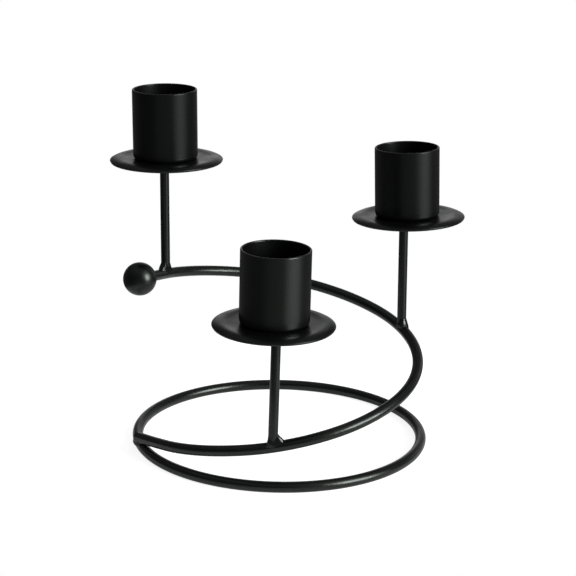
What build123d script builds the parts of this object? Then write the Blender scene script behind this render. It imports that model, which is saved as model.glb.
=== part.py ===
from build123d import *
import os
from math import radians, sin, cos, sqrt, tan

# Spiral candle holder for three taper candles, welded up from black-coated steel bar and sheet.
# A closed ring lies on the table. A second rod is welded on it, climbs once round and ends in a ball.
# Three posts stand on the climbing rod, and each carries a drip pan with a candle cup.
# The origin is on the table at the ring's centre, with +X to the right and -Y to the front.
# Angles are degrees, counter-clockwise from +X as seen from above.

# Bar and ball
rod_d = 4.0
post_d = 3.5
ball_d = 12.7

# Base ring, on its centre line
ring_radius = 54.0

# Climbing rod, on its centre line
spiral_radius = 52.0
spiral_shift_x = -0.25
spiral_rise = 51.7
climb_shares = (0.82, 0.66, -0.48)
lap_angle = 198.0
flare_angle = 218.0
straight_angle = 512.4
straight_length = 16.75
lap_overhang = 1.3
lap_depth = 0.35
ball_socket = 4.0
climb_spans = 4

# Posts, from the rod's centre line to the pan's seat; each was set by eye, so they differ a little
post_names = ("front", "right", "left")
post_angles = {"front": 268.0, "right": 385.3, "left": 510.3}
front_post_length = 45.9
right_post_length = 45.5
left_post_length = 46.0
post_lean_angles = {"front": 0.8, "right": -0.9, "left": -0.6}

# Pan and cup, each placed by eye on its post: sideways shifts and leans to the right and to the back
front_cup_shift = -0.8
right_cup_shift = 1.2
left_cup_shift = 0.5
front_pan_shift = -1.0
right_pan_shift = 1.6
left_pan_shift = 0.85
head_right_angles = {"front": 0.4, "right": -2.2, "left": -0.8}
head_back_angles = {"front": -0.8, "right": 0.3, "left": -0.6}

# Candle cup, drawn from sheet
cup_d = 24.6
cup_height = 26.4
cup_sheet = 0.8
cup_corner = 1.4
cup_hole_d = 5.0

# Drip pan, pressed from sheet: a flat seat, a shallow hollow and an edge rolled down
pan_d = 43.2
pan_sheet = 0.8
pan_seat_d = 26.0
pan_crest_d = 34.0
pan_rise = 0.3
pan_drop = 0.6
pan_lip_round = 0.25

# Welds
foot_weld_leg = 4.2
foot_weld_edge = 0.15
foot_weld_sink = 1.8
foot_weld_height = 2.4
foot_weld_long = 4.6
foot_weld_wide = 1.97
foot_weld_tall = 6.0
foot_weld_lean_angles = {"front": 5.0, "right": -6.0, "left": 5.0}
foot_waist_share = 0.37
pan_weld_leg = 1.0
pan_weld_height = 1.2
ball_weld_leg = 1.2
ball_weld_height = 1.9
plug_dome = 0.5
lap_weld_long = 3.4
lap_weld_wide = 2.3
lap_weld_tall = 2.2
waist_share = 0.43


def post_length(name):
    return {"front": front_post_length, "right": right_post_length, "left": left_post_length}[name]


def cup_shift(name):
    return {"front": front_cup_shift, "right": right_cup_shift, "left": left_cup_shift}[name]


def pan_shift(name):
    return {"front": front_pan_shift, "right": right_pan_shift, "left": left_pan_shift}[name]


def start_radius():
    """radius of the rod's lower end about the spiral's own axis, out over the ring"""
    a = radians(lap_angle)
    reach = ring_radius + lap_overhang
    return sqrt(reach ** 2 - (spiral_shift_x * sin(a)) ** 2) - spiral_shift_x * cos(a)


def lap_height():
    """how far the rod's lower end lies above the ring's centre line, let in by lap_depth"""
    return sqrt((rod_d - lap_depth) ** 2 - lap_overhang ** 2)


def spiral_point(angle):
    """a point on the climbing rod's centre line"""
    a = radians(angle)
    out = max(0, flare_angle - angle) / (flare_angle - lap_angle)
    r = spiral_radius + (start_radius() - spiral_radius) * out ** 2
    u = (angle - lap_angle) / (straight_angle - lap_angle)
    climb = sum(share * u ** (i + 1) for i, share in enumerate(climb_shares))
    return Vector(spiral_shift_x + r * cos(a), r * sin(a), rod_d / 2 + lap_height() + spiral_rise * climb)


def spiral_tangent(angle):
    """the rod's direction there, which is its upward way round"""
    a = radians(angle)
    turn = straight_angle - lap_angle
    out = max(0, flare_angle - angle) / (flare_angle - lap_angle)
    r = spiral_radius + (start_radius() - spiral_radius) * out ** 2
    dr = -2 * out * (start_radius() - spiral_radius) / radians(flare_angle - lap_angle)
    u = (angle - lap_angle) / turn
    dz = spiral_rise * sum((i + 1) * share * u ** i for i, share in enumerate(climb_shares)) / radians(turn)
    return Vector(dr * cos(a) - r * sin(a), dr * sin(a) + r * cos(a), dz).normalized()


def biarc(start, start_way, end, end_way):
    """two arcs that run from start to end and share a tangent where they meet"""
    chord = end - start
    a = 2 * (1 - start_way.dot(end_way))
    b = chord.dot(start_way + end_way)
    reach = (sqrt(b ** 2 + a * chord.dot(chord)) - b) / a
    corner_1 = start + start_way * reach
    corner_2 = end - end_way * reach
    middle = (corner_1 + corner_2) / 2
    first = TangentArc(start, middle, tangent=start_way)
    return [first, TangentArc(middle, end, tangent=corner_2 - corner_1)]


def ball_centre():
    return spiral_point(straight_angle) + spiral_tangent(straight_angle) * straight_length


def base_ring():
    """the closed ring of round bar that lies on the table"""
    return Pos(0, 0, rod_d / 2) * Torus(ring_radius, rod_d / 2)


def spiral_rod(ring):
    """the climbing rod: flared and saddled on the ring below, straight where it enters the ball"""
    span = (straight_angle - flare_angle) / climb_spans
    angles = [lap_angle] + [flare_angle + span * i for i in range(climb_spans + 1)]
    edges = []
    for a, b in zip(angles, angles[1:]):
        edges += biarc(spiral_point(a), spiral_tangent(a), spiral_point(b), spiral_tangent(b))
    bend = spiral_point(straight_angle)
    inside = ball_d / 2 - ball_socket
    edges.append(Line(bend, bend + spiral_tangent(straight_angle) * (straight_length - inside)))
    end = Plane(origin=spiral_point(lap_angle), z_dir=spiral_tangent(lap_angle))
    return sweep(end * Circle(rod_d / 2), path=Wire([e.edge() for e in edges])) - ring


def end_ball(rod):
    """a steel ball drilled to take the rod's end"""
    return Pos(ball_centre()) * Sphere(ball_d / 2) - rod


def flared(radius, leg, height, share, skirt=0):
    """a solid collar on a straight skirt, whose side sweeps in from radius + leg to radius"""
    outer = (radius + leg, 0)
    waist = (radius + leg * share, height * share)
    top = (radius, height)
    low = [outer, (radius + leg, -skirt)] if skirt else [outer]
    edges = Polyline(top, (0, height), (0, -skirt), *reversed(low)) + ThreePointArc(outer, waist, top)
    return revolve(Plane.XZ * make_face(edges), Axis.Z)


def ball_weld(rod, ball):
    """the weld that fairs the rod into the ball"""
    way = spiral_tangent(straight_angle)
    throat = rod_d / 2 + ball_weld_leg
    foot = ball_centre() - way * sqrt((ball_d / 2) ** 2 - throat ** 2)
    collar = flared(rod_d / 2, ball_weld_leg, ball_weld_height, waist_share)
    return Plane(origin=foot, z_dir=-way) * collar - ball - rod


def bead(place, long, wide, tall):
    """a blob of weld with its long axis along the place's X"""
    return place * scale(Sphere(1), by=(long, wide, tall))


def lap_weld(ring, rod):
    """the weld round the rod's lower end, between it and the ring"""
    end = spiral_point(lap_angle)
    a = radians(lap_angle)
    below = Vector(ring_radius * cos(a), ring_radius * sin(a), rod_d / 2)
    place = Plane(origin=(end + below) / 2, x_dir=spiral_tangent(lap_angle), z_dir=end - below)
    return bead(place, lap_weld_long, lap_weld_wide, lap_weld_tall) - ring - rod


def post_axis(name):
    return Vector(tan(radians(post_lean_angles[name])), 0, 1).normalized()


def seat_plane(name):
    """the plane that the cup stands on in the pan, centred on the post's top"""
    top = spiral_point(post_angles[name]) + post_axis(name) * post_length(name)
    up = Vector(tan(radians(head_right_angles[name])), tan(radians(head_back_angles[name])), 1)
    return Plane(origin=top, x_dir=Vector(1, 0, -up.X), z_dir=up)


def above_pan(name):
    """the space over the pan's underside, which the post and its weld stop at"""
    return seat_plane(name).offset(-pan_sheet) * extrude(Circle(pan_d / 2), pan_d / 2)


def post(name, rod):
    """a round post, coped over the rod and cut off against the pan"""
    foot = Plane(origin=spiral_point(post_angles[name]), z_dir=post_axis(name))
    return foot * extrude(Circle(post_d / 2), post_length(name) + post_d) - above_pan(name) - rod


def foot_weld(name, rod, bar):
    """the fillet weld at a post's foot: a collar swept in to the post, leaning so that one leg is longer"""
    centre = spiral_point(post_angles[name])
    along = spiral_tangent(post_angles[name])
    up = along.cross(Vector(0, 0, 1).cross(along))
    top = centre + post_axis(name) * (rod_d / 2 + foot_weld_height)
    height = foot_weld_sink + foot_weld_height
    collar = flared(post_d / 2 + foot_weld_edge, foot_weld_leg, height, foot_waist_share)
    lean = Rot(0, -foot_weld_lean_angles[name], 0) * Pos(0, 0, -height)
    swept = Plane(origin=top, x_dir=along, z_dir=up) * lean * collar
    saddle = Plane(origin=centre, x_dir=along, z_dir=up)
    return (swept & bead(saddle, foot_weld_long, foot_weld_wide, foot_weld_tall)) - rod - bar


def pan_weld(name, bar):
    """the fillet weld between a post's top and the pan's underside"""
    top = seat_plane(name).origin - post_axis(name) * pan_sheet
    collar = flared(post_d / 2, pan_weld_leg, pan_weld_height, waist_share, pan_sheet)
    return Plane(origin=top, z_dir=-post_axis(name)) * collar - above_pan(name) - bar


def drip_pan(name):
    """a pressed pan: its sheet runs flat, rises a little and rolls down at the edge, rounded above"""
    seat = (pan_seat_d / 2, -pan_sheet / 2)
    flat = Line((0, -pan_sheet / 2), seat)
    rise = TangentArc(seat, (pan_crest_d / 2, pan_rise - pan_sheet / 2), tangent=(1, 0))
    lip = ((pan_d - pan_sheet / 2) / 2, -pan_sheet / 2 - pan_drop)
    roll = TangentArc(rise @ 1, lip, tangent=rise % 1)
    solid = revolve(Plane.XZ * trace(flat + rise + roll, pan_sheet), Axis.Z)
    top_edge = solid.edges().sort_by(SortBy.LENGTH)[-1]
    return seat_plane(name) * Pos(pan_shift(name), 0, 0) * fillet(top_edge, pan_lip_round)


def candle_cup(name):
    """a drawn cup: rounded bottom corner, rounded lip and a hole in its floor for the plug weld"""
    wall = (cup_d - cup_sheet) / 2
    bend = cup_corner - cup_sheet / 2
    lip = (wall, cup_height - cup_sheet / 2)
    floor = Line((cup_hole_d / 2, cup_sheet / 2), (wall - bend, cup_sheet / 2))
    corner = TangentArc(floor @ 1, (wall, cup_sheet / 2 + bend), tangent=(1, 0))
    side = Line(corner @ 1, lip)
    sheet = trace(floor + corner + side, cup_sheet) + Pos(*lip) * Circle(cup_sheet / 2)
    return seat_plane(name) * Pos(cup_shift(name), 0, 0) * revolve(Plane.XZ * sheet, Axis.Z)


def cup_weld(name):
    """the plug weld that fills the hole in the cup's floor and holds it to the pan"""
    r = cup_hole_d / 2
    foot = Polyline((0, cup_sheet + plug_dome), (0, 0), (r, 0), (r, cup_sheet))
    crown = TangentArc((0, cup_sheet + plug_dome), (r, cup_sheet), tangent=(1, 0))
    plug = revolve(Plane.XZ * make_face(foot + crown), Axis.Z)
    return seat_plane(name) * Pos(cup_shift(name), 0, 0) * plug


def build():
    """every piece by its node's name"""
    ring = base_ring()
    rod = spiral_rod(ring)
    ball = end_ball(rod)
    pieces = {"base_ring": ring, "spiral_rod": rod, "end_ball": ball}
    pieces["lap_weld"] = lap_weld(ring, rod)
    pieces["ball_weld"] = ball_weld(rod, ball)
    for name in post_names:
        bar = post(name, rod)
        pieces["post_" + name] = bar
        pieces["foot_weld_" + name] = foot_weld(name, rod, bar)
        pieces["pan_weld_" + name] = pan_weld(name, bar)
        pieces["drip_pan_" + name] = drip_pan(name)
        pieces["candle_cup_" + name] = candle_cup(name)
        pieces["cup_weld_" + name] = cup_weld(name)
    return pieces


os.makedirs("parts", exist_ok=True)
for node, piece in build().items():
    export_step(piece, "parts/" + node + ".step")
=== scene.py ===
import math

import bpy
from mathutils import Matrix, Vector


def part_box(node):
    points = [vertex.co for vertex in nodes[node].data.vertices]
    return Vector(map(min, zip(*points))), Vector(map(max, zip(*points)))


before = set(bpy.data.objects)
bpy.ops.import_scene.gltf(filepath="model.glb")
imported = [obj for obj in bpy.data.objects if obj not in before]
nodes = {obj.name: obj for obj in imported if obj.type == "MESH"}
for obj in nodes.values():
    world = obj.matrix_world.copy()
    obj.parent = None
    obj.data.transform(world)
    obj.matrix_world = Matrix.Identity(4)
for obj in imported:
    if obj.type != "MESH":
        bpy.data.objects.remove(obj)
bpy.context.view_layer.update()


# Camera
# The photograph was taken from the front, a little above the holder, with a long lens.
# Its place is worked out from where the middle of the base ring lies in the picture.
picture_size = 576
focal_pixels = 1700
ring_centre_pixel = (279.4, 431.8)
camera_distance = 0.6517
camera_tilt = math.radians(16.28)
camera_roll = math.radians(-1.12)
sensor_width = 36
ring_low, ring_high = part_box("base_ring")
ring_centre = (ring_low + ring_high) / 2

forward = Vector((0, math.cos(camera_tilt), -math.sin(camera_tilt)))
level_right = Vector((1, 0, 0))
level_down = forward.cross(level_right)
right = math.cos(camera_roll) * level_right + math.sin(camera_roll) * level_down
down = forward.cross(right)
ring_x, ring_y = ((pixel - picture_size / 2) / focal_pixels for pixel in ring_centre_pixel)
camera_place = ring_centre - camera_distance * (forward + ring_x * right + ring_y * down)

camera_data = bpy.data.cameras.new("photo_camera")
camera_data.sensor_width = sensor_width
camera_data.lens = sensor_width * focal_pixels / picture_size
camera = bpy.data.objects.new("photo_camera", camera_data)
turn = Matrix((right, -down, -forward)).transposed()
camera.matrix_world = Matrix.Translation(camera_place) @ turn.to_4x4()
bpy.context.scene.collection.objects.link(camera)
bpy.context.scene.camera = camera
bpy.context.scene.view_settings.view_transform = "Standard"


# Studio
# A dim room with one large soft light low on the right. Each lit place is a soft spot on its walls,
# given by its direction, the angles from it at which it starts to fade and ends, and its strength.
room_level = 0.08
lit_places = {
    "wall behind": ((0.10, 1, 0.10), 4, 25, 0.44),
    "wall behind, upper left": ((-0.08, 1, 0.22), 2, 12, 0.30),
    "wall behind, far right": ((0.68, 0.72, 0.20), 4, 22, 0.28),
    "ceiling": ((0, 0, 1), 15, 60, 0.16),
    "glow above the light": ((0.73, -0.36, 0.59), 5, 26, 1.0),
    "floor below the light": ((0.81, -0.43, -0.41), 3, 34, 0.76),
    "floor in front": ((0, -1, -0.45), 5, 40, 0.10),
}
key_way = Vector((0.836, -0.464, 0.31))
key_strength = 2.8
key_spread = 32
white = (1, 1, 1, 1)


def link(tree, start, end):
    """joins an output to an input"""
    tree.links.new(start, end)


def maths(tree, kind, first, second):
    """a sum, product or like step between two sockets or numbers"""
    node = tree.nodes.new("ShaderNodeMath")
    node.operation = kind
    for socket, value in zip(node.inputs, (first, second)):
        if isinstance(value, (int, float)):
            socket.default_value = value
        else:
            link(tree, value, socket)
    return node.outputs[0]


def stretch(tree, value, low, high, to_low, to_high, kind="LINEAR"):
    """the value, taken from low..high to to_low..to_high"""
    node = tree.nodes.new("ShaderNodeMapRange")
    node.interpolation_type = kind
    ends = {"From Min": low, "From Max": high, "To Min": to_low, "To Max": to_high}
    for name, number in ends.items():
        node.inputs[name].default_value = number
    link(tree, value, node.inputs["Value"])
    return node.outputs["Result"]


world = bpy.data.worlds.new("studio")
world.use_nodes = True
bpy.context.scene.world = world
room = world.node_tree
room.nodes.clear()
look = room.nodes.new("ShaderNodeTexCoord")
level = room_level
for way, inner, outer, strength in lit_places.values():
    facing = room.nodes.new("ShaderNodeVectorMath")
    facing.operation = "DOT_PRODUCT"
    facing.inputs[1].default_value = Vector(way).normalized()
    link(room, look.outputs["Generated"], facing.inputs[0])
    edges = (math.cos(math.radians(angle)) for angle in (outer, inner))
    spot = stretch(room, facing.outputs["Value"], *edges, 0, strength, "SMOOTHSTEP")
    level = maths(room, "ADD", level, spot)
ray = room.nodes.new("ShaderNodeLightPath")
seen = maths(room, "MAXIMUM", ray.outputs["Is Camera Ray"], ray.outputs["Is Transmission Ray"])
backdrop = room.nodes.new("ShaderNodeBackground")
backdrop.inputs["Color"].default_value = white
link(room, maths(room, "MAXIMUM", seen, level), backdrop.inputs["Strength"])
room_out = room.nodes.new("ShaderNodeOutputWorld")
link(room, backdrop.outputs[0], room_out.inputs["Surface"])

key_data = bpy.data.lights.new("key_light", "SUN")
key_data.energy = key_strength
key_data.angle = math.radians(key_spread)
key_light = bpy.data.objects.new("key_light", key_data)
key_light.rotation_euler = key_way.to_track_quat("Z", "Y").to_euler()
bpy.context.scene.collection.objects.link(key_light)


# Table
# A round white table top, just large enough to carry the holder and to catch its shadow.
# It is lit from within for the camera, so that it runs into the white backdrop.
table_radius = 0.13
table_sides = 96
table_colour = (0.8, 0.8, 0.8, 1)
table_lift = 0.86
table_shine = 0.22

table_mesh = bpy.data.meshes.new("table")
turns = [2 * math.pi * i / table_sides for i in range(table_sides)]
rim = [(table_radius * math.cos(turn), table_radius * math.sin(turn), 0) for turn in turns]
table_mesh.from_pydata(rim, [], [range(table_sides)])
table = bpy.data.objects.new("table", table_mesh)
bpy.context.scene.collection.objects.link(table)

table_paint = bpy.data.materials.new("table_paint")
table_paint.use_nodes = True
paint = table_paint.node_tree
paint.nodes.clear()
matt = paint.nodes.new("ShaderNodeBsdfDiffuse")
matt.inputs["Color"].default_value = table_colour
glow = paint.nodes.new("ShaderNodeEmission")
glow.inputs["Color"].default_value = white
table_ray = paint.nodes.new("ShaderNodeLightPath")
direct = maths(paint, "MULTIPLY", table_ray.outputs["Is Camera Ray"], table_lift)
mirrored = maths(paint, "MULTIPLY", table_ray.outputs["Is Glossy Ray"], table_shine)
link(paint, maths(paint, "ADD", direct, mirrored), glow.inputs["Strength"])
both = paint.nodes.new("ShaderNodeAddShader")
link(paint, matt.outputs[0], both.inputs[0])
link(paint, glow.outputs[0], both.inputs[1])
table_out = paint.nodes.new("ShaderNodeOutputMaterial")
link(paint, both.outputs[0], table_out.inputs["Surface"])
table_mesh.materials.append(table_paint)


# Base ring
# Round steel bar bent to a closed circle, its joint ground flush. It lies on the table and carries
# everything else. Its coat is satin black with greyer patches, a few specks of dust, fine pebbling
# like orange peel, and a little wear that changes its shine.
coat_black = (0.0022, 0.0024, 0.0023, 1)
coat_grey = (0.0042, 0.0046, 0.0044, 1)
# The coat's reflections are tinted a little green. This is painted light: it stands for the green
# tint of the room's light, not for a colour of the coat.
painted_light_tint = (0.90, 1.0, 0.93, 1)
patch_size = 0.012
patch_detail = 4
patch_reach = (0.4, 0.75)
dust_grey = (0.025, 0.025, 0.024, 1)
speck_size = 0.0009
speck_detail = 1
speck_reach = (0.74, 0.82)
speck_share = 0.3
peel_size = 0.0007
peel_height = 0.00001
peel_detail = 2
peel_reach = (0.2, 0.8)
wave_detail = 1
wave_reach = (0, 1)
wear_size = 0.006
wear_detail = 3
wear_reach = (0.3, 0.7)
worn_roughness = (-0.04, 0.05)
worn_gloss = (0.07, -0.07)
bar_gloss = 0.58
bar_roughness = 0.27
bar_wave_size = 0.009
bar_wave_height = 0.00008
bar_seed = 0


def coat(name, gloss, roughness, wave_size, wave_height, seed, streak=1):
    """a black coat, uneven in tone and gloss, pebbled finely and waved over wave_size; a streak
    under 1 draws its patches out along the height"""
    material = bpy.data.materials.new(name)
    material.use_nodes = True
    tree = material.node_tree
    tree.nodes.clear()
    place = tree.nodes.new("ShaderNodeTexCoord")

    def spread(rise):
        """the coordinates, moved by the seed, with the height taken rise times"""
        node = tree.nodes.new("ShaderNodeVectorMath")
        node.operation = "MULTIPLY_ADD"
        node.inputs[1].default_value = (1, 1, rise)
        node.inputs[2].default_value = (seed, seed / 2, seed / 3)
        link(tree, place.outputs["Object"], node.inputs[0])
        return node.outputs[0]

    def clouds(where, size, detail, reach, low, high):
        """a noise whose patches measure about size, with what lies within reach taken to low..high"""
        noise = tree.nodes.new("ShaderNodeTexNoise")
        noise.inputs["Scale"].default_value = 1 / size
        noise.inputs["Detail"].default_value = detail
        link(tree, where, noise.inputs["Vector"])
        return stretch(tree, noise.outputs[0], *reach, low, high)

    def blend(first, second, share):
        """a mix of two colours, the second by the share"""
        node = tree.nodes.new("ShaderNodeMix")
        node.data_type = "RGBA"
        if isinstance(first, tuple):
            node.inputs["A"].default_value = first
        else:
            link(tree, first, node.inputs["A"])
        node.inputs["B"].default_value = second
        link(tree, share, node.inputs["Factor"])
        return node.outputs["Result"]

    def bump(height, distance, under=None):
        """a relief of that height, on top of the one under it"""
        node = tree.nodes.new("ShaderNodeBump")
        node.inputs["Distance"].default_value = distance
        link(tree, height, node.inputs["Height"])
        if under:
            link(tree, under, node.inputs["Normal"])
        return node.outputs[0]

    even = spread(1)
    drawn = spread(streak)
    tone = blend(coat_black, coat_grey, clouds(drawn, patch_size, patch_detail, patch_reach, 0, 1))
    specks = clouds(even, speck_size, speck_detail, speck_reach, 0, speck_share)
    wave = bump(clouds(even, wave_size, wave_detail, wave_reach, 0, 1), wave_height)
    peel = bump(clouds(even, peel_size, peel_detail, peel_reach, 0, 1), peel_height, wave)
    dull = (roughness + change for change in worn_roughness)
    shiny = (gloss + change for change in worn_gloss)
    surface = tree.nodes.new("ShaderNodeBsdfPrincipled")
    # painted light: the reflections take the green tint of the room's light
    surface.inputs["Specular Tint"].default_value = painted_light_tint
    sockets = {
        "Base Color": blend(tone, dust_grey, specks),
        "Roughness": clouds(drawn, wear_size, wear_detail, wear_reach, *dull),
        "Specular IOR Level": clouds(drawn, wear_size, wear_detail, wear_reach, *shiny),
        "Normal": peel,
    }
    for socket, value in sockets.items():
        link(tree, value, surface.inputs[socket])
    out = tree.nodes.new("ShaderNodeOutputMaterial")
    link(tree, surface.outputs[0], out.inputs["Surface"])
    return material


def dress(name, material):
    """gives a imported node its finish"""
    nodes[name].data.materials.clear()
    nodes[name].data.materials.append(material)


bar_coat = coat("bar_coat", bar_gloss, bar_roughness, bar_wave_size, bar_wave_height, bar_seed)
dress("base_ring", bar_coat)


# Climbing rod
# The same bar, bent round once as it climbs and left straight at its upper end.
# Its lower end rests on the ring and is welded there.
dress("spiral_rod", bar_coat)


# Lap weld
# The bead of weld metal that fills the corner between the ring and the rod's lower end.
# It was coated with the rest, so it keeps a soft, lumpy skin.
weld_gloss = 0.5
weld_roughness = 0.20
weld_wave_size = 0.0022
weld_wave_height = 0.00022
weld_seed = 2.3
weld_coat = coat("weld_coat", weld_gloss, weld_roughness, weld_wave_size, weld_wave_height, weld_seed)
dress("lap_weld", weld_coat)


# End ball
# A solid steel ball, drilled to take the rod's upper end.
# A small weld round the hole holds it.
ball_gloss = 0.5
ball_roughness = 0.34
ball_wave_size = 0.009
ball_wave_height = 0.00004
ball_seed = 1.7
ball_coat = coat("ball_coat", ball_gloss, ball_roughness, ball_wave_size, ball_wave_height, ball_seed)
dress("end_ball", ball_coat)
dress("ball_weld", weld_coat)


# Posts
# Three thinner steel bars that stand on the climbing rod, their feet cut to its round.
# Each is held by a fillet weld laid mostly on one side of it.
holders = ("front", "right", "left")
for holder in holders:
    dress("post_" + holder, bar_coat)
    dress("foot_weld_" + holder, weld_coat)


# Drip pans
# Round pans pressed from sheet steel, with a shallow hollow and the edge rolled down.
# Each is welded on top of its post from below.
pan_gloss = 0.4
pan_roughness = 0.30
sheet_wave_size = 0.009
sheet_wave_height = 0.00002
pan_seed = 3.1
pan_coat = coat("pan_coat", pan_gloss, pan_roughness, sheet_wave_size, sheet_wave_height, pan_seed)
for holder in holders:
    dress("pan_weld_" + holder, weld_coat)
    dress("drip_pan_" + holder, pan_coat)


# Candle cups
# Short cups drawn from sheet steel, each held in its pan by a plug weld through a hole in its floor.
# The drawing left faint marks up the walls, which show as streaks in the coat's shine. In the
# photograph the front cup looks glossier than the other two.
cup_gloss = {"front": 0.6, "right": 0.4, "left": 0.35}
cup_roughness = {"front": 0.28, "right": 0.3, "left": 0.3}
cup_streak = 0.15
cup_seed = 4.6
for holder in holders:
    finish = (cup_gloss[holder], cup_roughness[holder], sheet_wave_size, sheet_wave_height)
    cup_coat = coat("cup_coat_" + holder, *finish, cup_seed, cup_streak)
    dress("candle_cup_" + holder, cup_coat)
    dress("cup_weld_" + holder, weld_coat)
